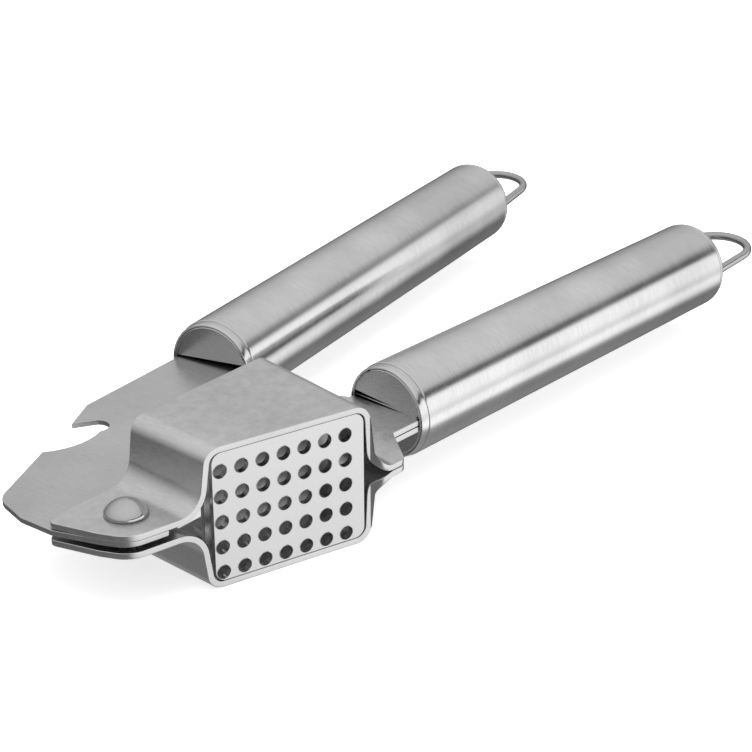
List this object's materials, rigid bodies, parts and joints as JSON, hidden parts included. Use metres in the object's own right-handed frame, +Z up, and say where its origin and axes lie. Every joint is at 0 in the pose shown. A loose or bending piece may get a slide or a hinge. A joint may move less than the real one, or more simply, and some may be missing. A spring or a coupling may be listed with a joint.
{
  "type": "garlic press",
  "caption": "Hand garlic press: folded sheet chamber with a hole sieve, riveted lever with a bottle-opener notch, swivelling pressing foot, round tube handles and wire hanging loops.",
  "frame": {"origin": "on the chamber's flat underside, straight below the fixed handle's axis", "axes": "+X along the fixed handle towards its hanging loop, +Z up, along the pivot; the sieve faces -Y"},
  "size_m": [0.1965, 0.0906, 0.0273],
  "materials": {
    "shell_steel": "satin sheet",
    "sieve_steel": "bright satin sheet",
    "rivet_steel": "polished",
    "inner_steel": "plain turned steel",
    "tube_steel": "brushed round the tube",
    "cap_steel": "satin disc",
    "end_cap_steel": "fine brushed",
    "wire_steel": "drawn wire",
    "plate_steel": "satin sheet",
    "foot_steel": "satin sheet"
  },
  "bodies": {
    "chamber_arm": {"upper_shell": "shell_steel", "lower_shell": "shell_steel", "sieve_plate": "sieve_steel", "pivot_rivet": "rivet_steel", "fixed_handle_tube": "tube_steel", "fixed_front_cap": "cap_steel", "fixed_end_cap": "end_cap_steel", "fixed_hanging_loop": "wire_steel"},
    "lever": {"lever_plate": "plate_steel", "lever_handle_tube": "tube_steel", "lever_front_cap": "cap_steel", "lever_end_cap": "end_cap_steel", "lever_hanging_loop": "wire_steel"},
    "plunger": {"plunger_foot": "foot_steel", "plunger_pin": "rivet_steel", "plunger_spacer_upper": "inner_steel", "plunger_spacer_lower": "inner_steel"}
  },
  "joints": [
    {"name": "lever_pivot", "type": "hinge", "parent": "chamber_arm", "child": "lever", "pos_m": [-0.0262, 0.004, 0.01365], "axis": [0, 0, 1], "range_deg": [-13.2, 75]},
    {"name": "plunger_swivel", "type": "hinge", "parent": "lever", "child": "plunger", "pos_m": [0.00179, 0.00322, 0.01365], "axis": [0, 0, 1], "range_deg": [-75, 13.2]}
  ],
  "couplings": [
    {"joint": "plunger_swivel", "follows": "lever_pivot", "ratio": -1}
  ]
}
